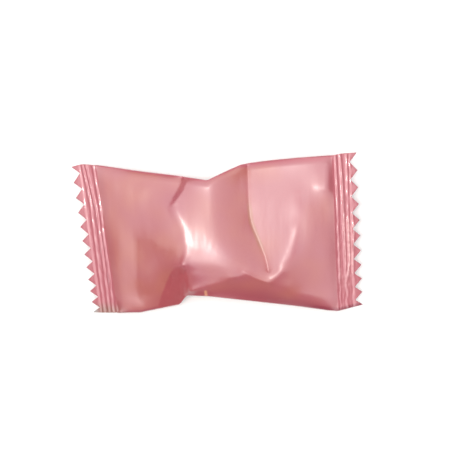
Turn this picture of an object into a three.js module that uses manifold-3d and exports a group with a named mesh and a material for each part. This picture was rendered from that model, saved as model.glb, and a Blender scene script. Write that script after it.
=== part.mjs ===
// A butter mint sealed in its wrapper: a short tube of pearly pink film, crimped flat and cut zig-zag
// at both ends, drawn tight over the mint that stands in its middle.
// Millimetres. +X runs along the pack, +Y towards its back edge, +Z up. The underside rests at z = 0.

import * as THREE from "three";
import { mergeVertices } from "three/addons/utils/BufferGeometryUtils.js";
import Module from "manifold-3d";

const wasm = await Module();
wasm.setup();

// ---- sizes of the pack ----
const packLength = 50;
const crimpWidth = 4.3;
const crimpThickness = 0.5;
const crimpDroop = 1.6;
const toothDepth = 1.3;
const ridgeHeight = 0.2;
const ridgeFlank = 0.45;
const seamWidth = 7;
const seamY = -0.6;
const seamStep = 0.3;

// Each end: where its cut starts at the back edge and ends at the front one, how many teeth it has,
// how far they crowd towards the front, how far from the cut its pressed ridges lie, and the height
// of the crimp's root at shares of the way to the front.
const leftEnd = {
  tipBack: -packLength / 2,
  tipFront: -21.4,
  inward: 1,
  teeth: 11,
  crowding: 0.25,
  ridges: [1.95, 2.75, 3.75],
  heights: [[0, 5.7], [0.25, 5.8], [0.5, 5.3], [0.72, 4.4], [0.88, 3.5], [1, 2.8]],
};
const rightEnd = {
  tipBack: 23.8,
  tipFront: packLength / 2,
  inward: -1,
  teeth: 10,
  crowding: 0.17,
  ridges: [1.8, 2.6, 3.45],
  heights: [[0, 7.2], [0.3, 7.5], [0.55, 7.0], [0.735, 6.2], [0.86, 5.6], [1, 4.8]],
};

// Each long side: its line seen from above as straight runs [x, y], and along x the heights at which
// the top film and the underside reach it, and how far the top film rolls down over its rim.
const backSide = {
  line: [
    [-27, 10.8], [-25, 11.25], [-23.2, 11.7], [-22.2, 11.65], [-11.2, 10.4], [-7, 9.9], [-1.7, 9.05],
    [1.8, 10.8], [3.9, 11.7], [5.3, 12], [9.5, 12.5], [13.5, 12.8], [17.6, 13], [19.5, 13.1],
    [21, 13.45], [27, 13.95],
  ],
  top: [
    [-20, 5.7], [-15, 6.5], [-11, 7.2], [-8, 7.6], [-5.6, 8.1], [-3, 8.75], [-1.5, 9.0], [0, 8.75], [2, 7.95],
    [4, 7.2], [5.2, 6.5], [7, 6.75], [9, 7.0], [11, 7.2], [13, 7.4], [15, 7.5], [18.4, 7.4], [20, 7.1],
  ],
  under: [[-20, 5.3], [-15, 4.8], [-8, 3.6], [-3, 3.2], [2, 3.2], [8, 4.4], [14, 5.6], [20, 6.9]],
  rim: [[-20, 0.1], [-15, 0.3], [-8, 0.4], [2, 0.4], [12, 0.35], [20, 0.1]],
  rimWidth: 1.3,
};
const frontSide = {
  line: [
    [-27, -13.7], [-13.2, -13.7], [-6.4, -12.3], [-5.2, -10.75],
    [-1.6, -10.85], [10.7, -12.25], [20.6, -13.35], [27, -11.8],
  ],
  top: [
    [-20, 2.8], [-14.9, 3.4], [-9.5, 3.9], [-8.3, 4.0], [-6.4, 4.9], [-5.2, 5.9], [-4.6, 6.8], [-3.3, 8.0],
    [0, 7.9], [2, 6.5], [4.4, 5.2], [9, 5.2], [12, 4.9], [15.9, 4.5], [20.3, 4.8],
  ],
  under: [[-20, 2.7], [-12, 1.6], [-5, 2.4], [2, 2.8], [9, 3.1], [16, 3.5], [20.3, 4.7]],
  rim: [
    [-20, 0.1], [-14, 0.5], [-9.5, 0.3], [-6.2, 0.1], [-5, 0.2], [0, 0.2], [4, 0.1], [9, 0.7], [16, 0.9],
    [20.3, 0.3],
  ],
  rimWidth: 2.4,
};
const sideBulge = 0.12;
const bulgeFade = 8;
const cornerSoftness = 0.25;
const heightSoftness = 0.5;

// ---- the mint inside, which holds the film up ----
const mint = {
  x: -1.9,
  y: -0.8,
  halfLength: 5.8,
  halfWidth: 8.0,
  thickness: 9.6,
  squareness: 3.0,
  turn: THREE.MathUtils.degToRad(22),
  flatUnderside: 1.3,
};

// ---- folds of the film over the mint, each through a few points [x, y, z] ----
const folds = {
  leftBackRidge: [[-5.4, 9.4, 8.6], [-6.4, 7.0, 9.1], [-7.9, 4.05, 9.74]],
  leftBackFoot: [[-6.0, 9.5, 8.1], [-7.05, 7.0, 8.65], [-8.2, 4.5, 9.42]],
  leftRise: [
    [-18.0, 8.5, 6.45], [-17.7, 6.0, 6.75], [-17.1, 3.0, 6.95], [-16.5, 0.0, 6.7],
    [-16.2, -2.5, 6.25], [-16.1, -4.67, 5.75], [-16.1, -8.1, 4.85], [-16.1, -11.5, 3.85],
  ],
  leftRoof: [[-10.2, 5.2, 8.85], [-9.6, 2.6, 9.1], [-8.6, 0.2, 9.35]],
  leftApron: [[-12.0, -4.0, 7.0], [-12.0, -7.0, 6.3], [-11.8, -9.6, 5.45]],
  leftShoulder: [
    [-7.9, 4.05, 9.74], [-6.4, 1.85, 9.88], [-5.5, -0.55, 9.94], [-5.0, -2.95, 9.92], [-5.1, -4.7, 9.84],
  ],
  crown: [[-5.6, 2.0, 9.9], [-4.4, -0.6, 10.0], [-3.7, -2.9, 9.95]],
  leftBrow: [[-13.4, 1.1, 7.6], [-11.0, -1.4, 8.1], [-8.4, -1.9, 9.1], [-6.3, -2.8, 9.7]],
  leftCrease: [
    [-13.4, 1.1, 7.6], [-13.9, -1.25, 6.85], [-13.8, -4.67, 6.1], [-13.5, -8.1, 5.25], [-13.2, -11.5, 4.05],
  ],
  softShoulder: [
    [-1.3, 8.4, 9.2], [-0.9, 5.6, 9.5], [-0.6, 2.2, 9.74],
    [0.2, -1.25, 9.84], [1.8, -3.2, 9.77], [3.6, -5.2, 9.36],
  ],
  frontRidge: [
    [-5.85, -5.5, 9.2], [-5.0, -5.0, 9.78], [-1.2, -5.2, 9.8], [1.85, -5.7, 9.72],
    [4.4, -6.6, 9.2], [6.6, -7.7, 8.55], [8.6, -8.55, 8.15],
  ],
  frontBrow: [[-4.0, -7.3, 9.05], [-1.2, -7.3, 9.15], [1.4, -7.4, 9.05], [4.4, -6.6, 9.2]],
  frontCrease: [[4.4, -6.6, 9.2], [2.6, -8.3, 8.4], [0.8, -10.2, 7.6]],
  rightValley: [
    [5.2, 11.4, 6.8], [5.35, 5.6, 7.25], [5.8, 1.8, 7.4],
    [7.0, -1.25, 7.6], [8.15, -4.15, 7.72], [8.75, -6.6, 7.85],
  ],
  rightRidge: [
    [13.5, 6.5, 8.45], [13.6, 3.5, 8.7], [13.5, 0.5, 8.82],
    [12.75, -2.6, 8.65], [11.2, -5.5, 8.4], [8.6, -8.55, 8.15],
  ],
  rightSwell: [[15.8, 4.5, 8.4], [15.7, 2.0, 8.52], [15.5, -0.5, 8.42], [15.0, -3.0, 8.15]],
  rightShoulder: [[19.3, 11.8, 7.7], [19.35, 9.5, 7.95], [19.2, 7.5, 8.08], [18.6, 6.3, 8.05]],
  rightPlateau: [[17.2, 11.8, 7.75], [17.2, 9.5, 8.02], [17.1, 7.5, 8.18]],
  rightFall: [[18.0, 3.0, 8.05], [18.1, 0.0, 7.85], [18.3, -4.0, 7.25], [18.6, -8.0, 6.35]],
  pocketArch: [
    [-9.3, -10.1, 5.6], [-8.6, -8.3, 6.7], [-7.6, -6.4, 8.1], [-6.27, -5.6, 9.0], [-5.6, -5.7, 9.1],
  ],
  pocketSide: [[-5.6, -5.7, 9.1], [-5.0, -6.7, 8.75], [-4.75, -8.8, 7.85], [-4.8, -10.3, 7.0]],
  pocketLeftFloor: [[-7.6, -7.4, 7.45], [-8.2, -9.4, 6.05], [-8.5, -11.6, 4.85]],
  pocketRightFloor: [[-5.7, -6.7, 8.35], [-5.5, -8.8, 7.35], [-5.7, -10.9, 6.1]],
};
const foldStep = 0.2;

// Where the film passes over in a round: a path [x, y] and the radius of the round.
const rounds = [
  { path: [[-1.3, 8.4], [-0.9, 5.6], [-0.6, 2.2], [0.2, -1.25], [1.8, -3.2], [3.4, -5.0]], radius: 1.0 },
  { path: [[12.9, 9.5], [13.4, 4.0]], radius: 1.3 },
  { path: [[15.8, 5.0], [15.7, 2.0], [15.5, -0.5], [15.0, -3.5]], radius: 1.0 },
  { path: [[-10.2, 5.2], [-9.6, 2.6], [-8.6, 0.2]], radius: 1.2 },
  { path: [[-18.0, 9.5], [-17.1, 3.0], [-16.2, -2.5], [-16.1, -13.0]], radius: 0.7 },
  { path: [[-4.0, -7.3], [-1.2, -7.3], [1.4, -7.4], [3.6, -6.8]], radius: 0.7 },
];

// ---- how finely the film is divided, and how it is relaxed ----
const bodyRows = 64;
const columns = 50;
const wallSteps = 2;
const middleCrowding = 0.7;
const blendShare = 0.3;
const relaxingPasses = 900;
const smoothingPasses = 3;
const overRelaxing = 1.2;
const topPuff = 0.006;
const bottomPuff = 0.02;
const thinnest = 0.4;

const lerp = THREE.MathUtils.lerp;
const clamp = THREE.MathUtils.clamp;

function smoothStep(t) {
  return THREE.MathUtils.smoothstep(t, 0, 1);
}

// The value at x of straight runs through the points.
function along(points, x) {
  if (x <= points[0][0]) return points[0][1];
  for (let i = 1; i < points.length; i += 1) {
    const [x0, y0] = points[i - 1];
    const [x1, y1] = points[i];
    if (x <= x1) return lerp(y0, y1, (x - x0) / (x1 - x0));
  }
  return points.at(-1)[1];
}

// The same, with its corners softened over a length.
function softAlong(points, x, softness) {
  const offsets = [-softness, -softness / 2, 0, softness / 2, softness];
  return offsets.reduce((sum, offset) => sum + along(points, x + offset), 0) / offsets.length;
}

// The sheets stop short of the outline by the bulge of the side between them.
function bulge(x) {
  const rootX = packLength / 2 - crimpWidth;
  return sideBulge * smoothStep((rootX - Math.abs(x)) / bulgeFade);
}

function edgeY(x, across) {
  const back = softAlong(backSide.line, x, cornerSoftness) - bulge(x);
  const front = softAlong(frontSide.line, x, cornerSoftness) + bulge(x);
  return lerp(back, front, across);
}

// ---- the net of points: rows run along x, columns from the back edge (0) to the front (1) ----

// Share of the way to the front at which a column reaches an end, where the teeth crowd together.
function crowded(column, crowding) {
  return column * (1 + crowding * (1 - column));
}

function acrossAt(rowShare, column) {
  const leftPart = 1 - smoothStep(rowShare / blendShare);
  const rightPart = smoothStep((rowShare - 1 + blendShare) / blendShare);
  const even = (1 - Math.cos(Math.PI * column)) / 2;
  const middle = lerp(column, even, middleCrowding);
  return leftPart * crowded(column, leftEnd.crowding)
    + rightPart * crowded(column, rightEnd.crowding)
    + (1 - leftPart - rightPart) * middle;
}

function tipX(end, across) {
  return lerp(end.tipBack, end.tipFront, across);
}

function crimpRoot(end, across) {
  return tipX(end, across) + end.inward * crimpWidth;
}

function rootHeight(end, across) {
  return softAlong(end.heights, across, 0.05);
}

function bodyNet() {
  const net = [];
  for (let i = 0; i <= bodyRows; i += 1) {
    const row = [];
    for (let j = 0; j <= columns; j += 1) {
      const across = acrossAt(i / bodyRows, j / columns);
      const x = lerp(crimpRoot(leftEnd, across), crimpRoot(rightEnd, across), i / bodyRows);
      row.push({ x, y: edgeY(x, across), across });
    }
    net.push(row);
  }
  for (let i = 1; i < bodyRows; i += 1) {
    for (let j = 1; j < columns; j += 1) net[i][j].weights = neighbourWeights(net, i, j);
  }
  return net;
}

// Weights of a point's four neighbours, which add up to one: those nearer pull harder.
function neighbourWeights(net, i, j) {
  const here = net[i][j];
  const around = [net[i - 1][j], net[i + 1][j], net[i][j - 1], net[i][j + 1]];
  const pulls = around.map((other) => 1 / ((other.x - here.x) ** 2 + (other.y - here.y) ** 2));
  const total = pulls.reduce((sum, pull) => sum + pull, 0);
  return { shares: pulls.map((pull) => pull / total), total };
}

function eachInnerPoint(visit) {
  for (let i = 1; i < bodyRows; i += 1) {
    for (let j = 1; j < columns; j += 1) visit(i, j);
  }
}

function neighbourMean(net, z, i, j) {
  const [w, e, n, s] = net[i][j].weights.shares;
  return w * z[i - 1][j] + e * z[i + 1][j] + n * z[i][j - 1] + s * z[i][j + 1];
}

// ---- the film, relaxed over the mint like a soap film and pulled to its folds ----

// Half the mint's thickness over a point of its middle plane, or nothing outside it.
function mintHalfHeight(x, y) {
  const dx = x - mint.x;
  const dy = y - mint.y;
  const lengthwise = (dx * Math.cos(mint.turn) + dy * Math.sin(mint.turn)) / mint.halfLength;
  const crosswise = (dy * Math.cos(mint.turn) - dx * Math.sin(mint.turn)) / mint.halfWidth;
  const left = 1 - Math.abs(lengthwise) ** mint.squareness - Math.abs(crosswise) ** mint.squareness;
  return left > 0 ? (mint.thickness / 2) * left ** (1 / mint.squareness) : null;
}

// The height at which the mint holds a sheet: nothing where it doesn't reach.
function heldHeight({ x, y }, side) {
  const half = mintHalfHeight(x, y);
  if (half === null) return null;
  if (side > 0) return mint.thickness / 2 + half;
  return Math.max(0, mint.thickness / 2 - half * mint.flatUnderside);
}

// Where a point lies in the net, as a row number and a column number with fractions.
function placeInNet(net, x, y) {
  const back = edgeY(x, 0);
  const across = (y - back) / (edgeY(x, 1) - back);
  const root = crimpRoot(leftEnd, across);
  const row = ((x - root) / (crimpRoot(rightEnd, across) - root)) * bodyRows;
  const i = clamp(Math.floor(row), 0, bodyRows - 1);
  const shares = net[i].map((point, j) => lerp(point.across, net[i + 1][j].across, row - i));
  let j = shares.findIndex((share) => share > across) - 1;
  if (j < 0) j = columns - 1;
  const column = j + (across - shares[j]) / (shares[j + 1] - shares[j]);
  return { i, j, row: row - i, column: column - j };
}

// The points of one fold, each with the four net points round it and their weights.
function foldPulls(net, points) {
  const curve = new THREE.CatmullRomCurve3(points.map((p) => new THREE.Vector3(...p)));
  const count = Math.ceil(curve.getLength() / foldStep);
  return curve.getPoints(count).map((point) => {
    const { i, j, row, column } = placeInNet(net, point.x, point.y);
    const corners = [
      [i, j, (1 - row) * (1 - column)],
      [i + 1, j, row * (1 - column)],
      [i, j + 1, (1 - row) * column],
      [i + 1, j + 1, row * column],
    ];
    const norm = corners.reduce((sum, corner) => sum + corner[2] ** 2, 0);
    return { corners, norm, z: point.z };
  });
}

function pullToFolds(z, pulls) {
  for (const { corners, norm, z: wanted } of pulls) {
    const now = corners.reduce((sum, [i, j, weight]) => sum + weight * z[i][j], 0);
    for (const [i, j, weight] of corners) z[i][j] += (weight * (wanted - now)) / norm;
  }
}

function rimDrop(place, x) {
  return softAlong(place.rim, x, heightSoftness);
}

// The height a sheet would have at a long edge without the roll of its rim.
function edgeHeight(place, x, side) {
  return softAlong(side > 0 ? place.top : place.under, x, heightSoftness) + side * rimDrop(place, x);
}

// Heights of one sheet over the net: side is +1 for the top sheet and -1 for the bottom one.
function relaxedSheet(net, side) {
  const half = (side * crimpThickness) / 2;
  const z = net.map((row, i) => row.map(({ x, across }, j) => {
    if (i === 0) return rootHeight(leftEnd, across) + half;
    if (i === bodyRows) return rootHeight(rightEnd, across) + half;
    return lerp(edgeHeight(backSide, x, side), edgeHeight(frontSide, x, side), j / columns);
  }));
  const held = net.map((row) => row.map((point) => heldHeight(point, side)));
  const pulls = side > 0 ? Object.values(folds).flatMap((points) => foldPulls(net, points)) : [];
  const puff = side > 0 ? topPuff : -bottomPuff;
  for (let pass = 0; pass < relaxingPasses + smoothingPasses; pass += 1) {
    const smoothing = pass >= relaxingPasses;
    const rate = smoothing ? 0.5 : overRelaxing;
    eachInnerPoint((i, j) => {
      const wanted = neighbourMean(net, z, i, j) + puff / net[i][j].weights.total;
      z[i][j] += rate * (wanted - z[i][j]);
      const limit = held[i][j];
      if (limit !== null) z[i][j] = side > 0 ? Math.max(z[i][j], limit) : Math.min(z[i][j], limit);
    });
    if (!smoothing) pullToFolds(z, pulls);
  }
  return z;
}

// How far a point is from a path of straight runs.
function distanceTo(path, x, y) {
  const point = new THREE.Vector3(x, y, 0);
  const near = new THREE.Vector3();
  return Math.min(...path.slice(1).map((end, k) => {
    const run = new THREE.Line3(new THREE.Vector3(...path[k], 0), new THREE.Vector3(...end, 0));
    return run.closestPointToPoint(point, true, near).distanceTo(point);
  }));
}

// Smooths the film near a path, until its crease there is a round of the given radius.
function roundedOver(net, z, { path, radius }) {
  const middle = net[bodyRows / 2][columns / 2].weights.total;
  const passes = Math.ceil((radius ** 2 * middle) / 2);
  let soft = z.map((row) => [...row]);
  for (let pass = 0; pass < passes; pass += 1) {
    const next = soft.map((row) => [...row]);
    eachInnerPoint((i, j) => {
      next[i][j] = neighbourMean(net, soft, i, j);
    });
    soft = next;
  }
  return z.map((row, i) => row.map((height, j) => {
    const { x, y } = net[i][j];
    return lerp(height, soft[i][j], smoothStep(1.5 - distanceTo(path, x, y) / (2 * radius)));
  }));
}

// Rolls a sheet over its rims, steepest at the very edge.
function rimmed(net, z, side) {
  return z.map((row, i) => row.map((height, j) => {
    const { x, across } = net[i][j];
    const width = edgeY(x, 0) - edgeY(x, 1);
    const roll = (place, inside) => rimDrop(place, x) * Math.max(0, 1 - inside / place.rimWidth) ** 2;
    return height - side * (roll(backSide, across * width) + roll(frontSide, (1 - across) * width));
  }));
}

// The lengthwise seam folded flat under the pack stands out from the bottom sheet by a step.
function seamDrop(y) {
  const fromEdge = seamWidth / 2 - Math.abs(y - seamY);
  return seamStep * smoothStep(fromEdge + 0.5);
}

// ---- one closed shell of both sheets, crimps included ----

// Distances from the cut at which the crimp's rows lie: flat, flank, ridge, flank, ridge and so on.
function crimpOffsets(end) {
  const offsets = [-toothDepth / 2, end.ridges[0] - ridgeFlank];
  end.ridges.forEach((ridge, k) => {
    offsets.push(ridge);
    offsets.push((ridge + (end.ridges[k + 1] ?? crimpWidth)) / 2);
  });
  return offsets;
}

function crimpRows(end) {
  return crimpOffsets(end).map((offset) => {
    const lift = end.ridges.includes(offset) ? ridgeHeight : 0;
    const droop = crimpDroop * (1 - offset / crimpWidth);
    const row = { top: [], bottom: [] };
    for (let j = 0; j <= columns; j += 1) {
      const across = crowded(j / columns, end.crowding);
      const x = tipX(end, across) + end.inward * offset;
      const z = rootHeight(end, across) + lift - droop;
      const y = edgeY(x, across);
      row.top.push([x, y, z + crimpThickness / 2]);
      row.bottom.push([x, y, z - crimpThickness / 2]);
    }
    return row;
  });
}

function bodyRowsOf(net) {
  const creased = rounds.reduce((z, round) => roundedOver(net, z, round), relaxedSheet(net, 1));
  const top = rimmed(net, creased, 1);
  const bottom = rimmed(net, relaxedSheet(net, -1), -1);
  return net.map((points, i) => {
    const row = { top: [], bottom: [] };
    points.forEach(({ x, y }, j) => {
      const low = Math.max(0, bottom[i][j] - seamDrop(y));
      const middle = (top[i][j] + low) / 2;
      const high = Math.max(top[i][j], middle + thinnest / 2);
      row.top.push([x, y, high]);
      row.bottom.push([x, y, Math.max(0, Math.min(low, high - thinnest))]);
    });
    return row;
  });
}

// The places round a grid's rim, anticlockwise from its first point: outward is the way out in y.
function ringOf(lastRow, lastColumn) {
  const ring = [];
  for (let j = 0; j < lastColumn; j += 1) ring.push({ i: 0, j, outward: 0 });
  for (let i = 0; i < lastRow; i += 1) ring.push({ i, j: lastColumn, outward: -1 });
  for (let j = lastColumn; j > 0; j -= 1) ring.push({ i: lastRow, j, outward: 0 });
  for (let i = lastRow; i > 0; i -= 1) ring.push({ i, j: 0, outward: 1 });
  return ring;
}

// Every point of the top sheet, a bulging wall down from its rim, and every second point below.
function closedShell(rows) {
  const lastRow = rows.length - 1;
  const positions = [];
  const faces = [];
  const addPoint = (point) => positions.push(point) - 1;
  const quad = (a, b, c, d) => faces.push(a, b, c, a, c, d);

  const top = rows.map((row) => row.top.map(addPoint));
  for (let i = 0; i < lastRow; i += 1) {
    for (let j = 0; j < columns; j += 1) quad(top[i][j], top[i][j + 1], top[i + 1][j + 1], top[i + 1][j]);
  }

  const ring = ringOf(lastRow, columns);
  let upper = ring.map(({ i, j }) => top[i][j]);
  for (let step = 1; step < wallSteps; step += 1) {
    const t = step / wallSteps;
    const lower = ring.map(({ i, j, outward }) => {
      const [x, y, high] = rows[i].top[j];
      const low = rows[i].bottom[j][2];
      const swell = Math.min(bulge(x), 0.3 * (high - low)) * Math.sin(Math.PI * t);
      return addPoint([x, y + outward * swell, lerp(high, low, t)]);
    });
    lower.forEach((point, k) => {
      const next = (k + 1) % ring.length;
      quad(upper[k], point, lower[next], upper[next]);
    });
    upper = lower;
  }

  const under = rows.filter((row, i) => i % 2 === 0)
    .map((row) => row.bottom.filter((point, j) => j % 2 === 0).map(addPoint));
  for (let i = 0; i < lastRow / 2; i += 1) {
    for (let j = 0; j < columns / 2; j += 1) {
      quad(under[i][j], under[i + 1][j], under[i + 1][j + 1], under[i][j + 1]);
    }
  }
  const underRing = ringOf(lastRow / 2, columns / 2).map(({ i, j }) => under[i][j]);
  underRing.forEach((point, k) => {
    const next = underRing[(k + 1) % underRing.length];
    const middle = upper[2 * k + 1];
    const last = upper[(2 * k + 2) % ring.length];
    faces.push(upper[2 * k], point, middle, middle, point, next, middle, next, last);
  });

  const geometry = new THREE.BufferGeometry();
  geometry.setAttribute("position", new THREE.Float32BufferAttribute(positions.flat(), 3));
  geometry.setIndex(faces);
  return geometry;
}

// ---- the zig-zag cut at each end ----

// What the cutting blade takes off: everything beyond the zig-zag, through the crimp's whole height.
function offcut(end) {
  const clear = 3;
  const outline = [];
  const at = (tooth, depth) => {
    const across = crowded(tooth / end.teeth, end.crowding);
    const x = tipX(end, across) + end.inward * depth;
    return new THREE.Vector2(x, edgeY(x, across));
  };
  for (let tooth = 0; tooth < end.teeth; tooth += 1) {
    outline.push(at(tooth, 0));
    outline.push(at(tooth + 0.5, toothDepth));
  }
  outline.push(at(end.teeth, 0));
  const first = outline[0];
  const last = outline.at(-1);
  const outside = Math.min(first.x * end.inward, last.x * end.inward) * end.inward - end.inward * clear;
  outline.push(new THREE.Vector2(outside, last.y - clear));
  outline.push(new THREE.Vector2(outside, first.y + clear));
  const blade = new THREE.ExtrudeGeometry(new THREE.Shape(outline), {
    depth: 2 * mint.thickness,
    bevelEnabled: false,
  });
  return blade.translate(0, 0, -mint.thickness / 2);
}

function solidFrom(geometry) {
  const bare = geometry.clone();
  bare.deleteAttribute("normal");
  bare.deleteAttribute("uv");
  const merged = mergeVertices(bare, 1e-4);
  return new wasm.Manifold(new wasm.Mesh({
    numProp: 3,
    vertProperties: merged.getAttribute("position").array,
    triVerts: new Uint32Array(merged.getIndex().array),
  }));
}

function geometryFrom(solid) {
  const mesh = solid.getMesh();
  const geometry = new THREE.BufferGeometry();
  geometry.setAttribute("position", new THREE.BufferAttribute(mesh.vertProperties, 3));
  geometry.setIndex(new THREE.BufferAttribute(mesh.triVerts, 1));
  geometry.computeVertexNormals();
  return geometry;
}

function wrappedMint() {
  const rows = [...crimpRows(leftEnd), ...bodyRowsOf(bodyNet()), ...crimpRows(rightEnd).reverse()];
  const cut = [leftEnd, rightEnd].reduce(
    (solid, end) => solid.subtract(solidFrom(offcut(end))),
    solidFrom(closedShell(rows)),
  );
  const pearlyFilm = new THREE.MeshStandardMaterial({ color: 0xd68c91, roughness: 0.35, metalness: 0.15 });
  const mesh = new THREE.Mesh(geometryFrom(cut), pearlyFilm);
  mesh.name = "wrapped_mint";
  return mesh;
}

const pack = new THREE.Group();
pack.add(wrappedMint());

export default pack;
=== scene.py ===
import math

import bpy
import numpy as np
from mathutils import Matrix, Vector


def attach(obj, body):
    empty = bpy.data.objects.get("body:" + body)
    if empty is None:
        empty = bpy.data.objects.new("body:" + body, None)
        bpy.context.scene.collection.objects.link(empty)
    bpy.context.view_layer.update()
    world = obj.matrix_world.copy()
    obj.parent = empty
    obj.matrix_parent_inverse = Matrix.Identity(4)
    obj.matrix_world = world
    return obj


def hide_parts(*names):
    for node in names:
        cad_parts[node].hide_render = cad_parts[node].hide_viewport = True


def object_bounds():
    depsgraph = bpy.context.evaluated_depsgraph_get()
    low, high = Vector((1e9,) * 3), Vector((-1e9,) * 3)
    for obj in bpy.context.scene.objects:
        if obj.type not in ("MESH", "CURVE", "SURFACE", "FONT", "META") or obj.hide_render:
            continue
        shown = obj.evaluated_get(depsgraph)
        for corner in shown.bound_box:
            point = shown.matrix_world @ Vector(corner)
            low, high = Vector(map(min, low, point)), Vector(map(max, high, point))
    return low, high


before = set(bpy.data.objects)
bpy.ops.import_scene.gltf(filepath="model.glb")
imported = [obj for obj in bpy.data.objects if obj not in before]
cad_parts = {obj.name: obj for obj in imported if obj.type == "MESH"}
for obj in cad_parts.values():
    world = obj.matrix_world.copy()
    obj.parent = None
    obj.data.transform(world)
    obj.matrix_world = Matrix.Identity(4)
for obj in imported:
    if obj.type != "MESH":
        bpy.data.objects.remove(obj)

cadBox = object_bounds()
print("frame loaded")

# The sealed pack. Sizes are in millimetres, and become metres in the mesh.
pack = {
    "length": 50.0,             # tip to tip of the zig-zag ends
    "crimpWidth": 4.3,
    "crimpFilm": 0.14,          # two layers of film welded flat
    "thinnest": 0.1,            # between the top film and the underside
    "toothDepth": 1.3,
    "seamWidth": 7.0, "seamY": -0.6, "seamStep": 0.16, "seamSoftness": 0.3,
    "columns": 220,             # 20 for each of 11 teeth, 22 for each of 10
    "bodyRows": 286, "quickRows": 150,
    "toothRows": 6, "ridgeRows": 20,
    "endShare": 0.3,            # of the length, where the columns leave the spacing of the teeth
    "evenShare": 0.3,           # of the middle's spacing, and the rest crowds to the long sides
}
mm = (cadBox[1][0] - cadBox[0][0]) / pack["length"]
middleX = (cadBox[1][0] + cadBox[0][0]) / 2
middleY = (cadBox[1][1] + cadBox[0][1]) / 2
bodyRows = pack["bodyRows"]

# The two ends, with their heights at shares of the way from the back edge to the front one.
leftEnd = {
    "tipBack": -25.0, "tipFront": -21.4, "inward": 1, "teeth": 11, "crowding": 0.25,
    "heights": [(0, 5.7), (0.25, 5.8), (0.5, 5.3), (0.72, 4.4), (0.88, 3.5), (1, 2.8)],
}
rightEnd = {
    "tipBack": 23.8, "tipFront": 25.0, "inward": -1, "teeth": 10, "crowding": 0.17,
    "heights": [(0, 7.3), (0.3, 7.55), (0.55, 6.9), (0.735, 6.1), (0.86, 5.4), (1, 4.8)],
}
edges = {
    # y of the two long edges along x
    "back": [(-27, 10.8), (-25, 11.25), (-23.2, 11.7), (-22.2, 11.65), (-11.2, 10.31), (-7, 9.8),
             (-1.7, 8.97), (1.8, 10.66), (3.9, 11.61), (5.3, 11.93), (9.5, 12.45), (13.5, 12.8),
             (17.6, 13.0), (19.5, 13.1), (21, 13.45), (27, 13.95)],
    "front": [(-27, -13.7), (-13.2, -13.7), (-6.4, -12.3), (-5.2, -10.75), (-1.6, -10.85),
              (10.7, -12.25), (20.6, -13.35), (27, -11.8)],
    # heights there of the top film and the underside
    "backTop": [(-20, 5.7), (-15, 6.5), (-11, 7.2), (-8, 7.6), (-5.6, 8.1), (-3, 8.75), (-1.5, 9.0),
                (0, 8.75), (2, 7.95), (4, 7.2), (5.2, 6.5), (7, 6.75), (9, 7.0), (11, 7.2),
                (13, 7.4), (15, 7.5), (17, 7.5), (18.4, 7.4), (20, 7.1)],
    "frontTop": [(-20, 2.8), (-14.9, 3.4), (-9.5, 3.9), (-8.3, 4.0), (-6.4, 4.9), (-5.4, 6.1),
                 (-4.6, 6.8), (-3.4, 7.45), (0, 7.5), (2, 7.1), (4.4, 6.4), (6.5, 6.0), (9, 5.4),
                 (12, 4.9), (15.9, 4.5), (20.3, 4.8)],
    "backUnder": [(-20, 5.3), (-15, 4.8), (-8, 3.6), (-3, 3.2), (2, 3.2), (8, 4.4), (14, 5.6),
                  (20, 6.9)],
    "frontUnder": [(-20, 2.7), (-12, 1.6), (-5, 2.4), (2, 2.8), (9, 3.1), (16, 3.5), (20.3, 4.7)],
    # how far the film curls over to the edge, and over what width
    "backRim": [(-20, 0.1), (-15, 0.3), (-8, 0.4), (2, 0.4), (12, 0.35), (20, 0.1)],
    "frontRim": [(-20, 0.1), (-14, 0.5), (-9.5, 0.3), (-6.2, 0.1), (-5, 0.2), (0, 0.2), (4, 0.1),
                 (9, 0.7), (16, 0.9), (20.3, 0.3)],
    "backRimWidth": 1.3, "frontRimWidth": 2.4,
    "bulge": 0.12, "bulgeEnd": 20, "bulgeFade": 8,      # the side walls swell outward
    "bulgeShare": 0.3,          # of the wall's own height, at most
    "wallSteps": 5,
    "cornerSoftness": 0.25, "heightSoftness": 0.5, "endSoftness": 0.05,
}
mint = {
    "x": -1.9, "y": -0.8, "halfLength": 5.8, "halfWidth": 8.0, "thickness": 9.6,
    "squareness": 3.0, "turn": math.radians(22),
    "flatUnderside": 1.1,       # more than 1 presses the film flat under the mint
}


def smoothStep(t):
    t = np.clip(t, 0, 1)
    return t * t * (3 - 2 * t)


# 1 up to a share of the reach, and from there down to 0 over one reach. With a start of -0.5 the
# fade is half done at distance 0.
def faded(distance, reach, start=0.5):
    return smoothStep(1 + start - distance / reach)


def along(points, x):
    return np.interp(x, [p[0] for p in points], [p[1] for p in points])


def softAlong(points, x, softness):
    steps = (-2, -1, 0, 1, 2)
    return sum(along(points, x + k * softness / 2) for k in steps) / len(steps)


# Across is everywhere the share of the way from the back edge to the front one.
def edgeY(x, across):
    bulge = edges["bulge"] * smoothStep((edges["bulgeEnd"] - np.abs(x)) / edges["bulgeFade"])
    back = softAlong(edges["back"], x, edges["cornerSoftness"]) - bulge
    front = softAlong(edges["front"], x, edges["cornerSoftness"]) + bulge
    return back + (front - back) * across


def rim(side, x):
    return softAlong(edges[side + "Rim"], x, edges["heightSoftness"])


def crowded(column, end):
    return column * (1 + end["crowding"] * (1 - column))


def tipX(end, across):
    return end["tipBack"] + (end["tipFront"] - end["tipBack"]) * across


def crimpRoot(end, across):
    return tipX(end, across) + end["inward"] * pack["crimpWidth"]


def endHeight(end, across):
    return softAlong(end["heights"], across, edges["endSoftness"])


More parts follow.
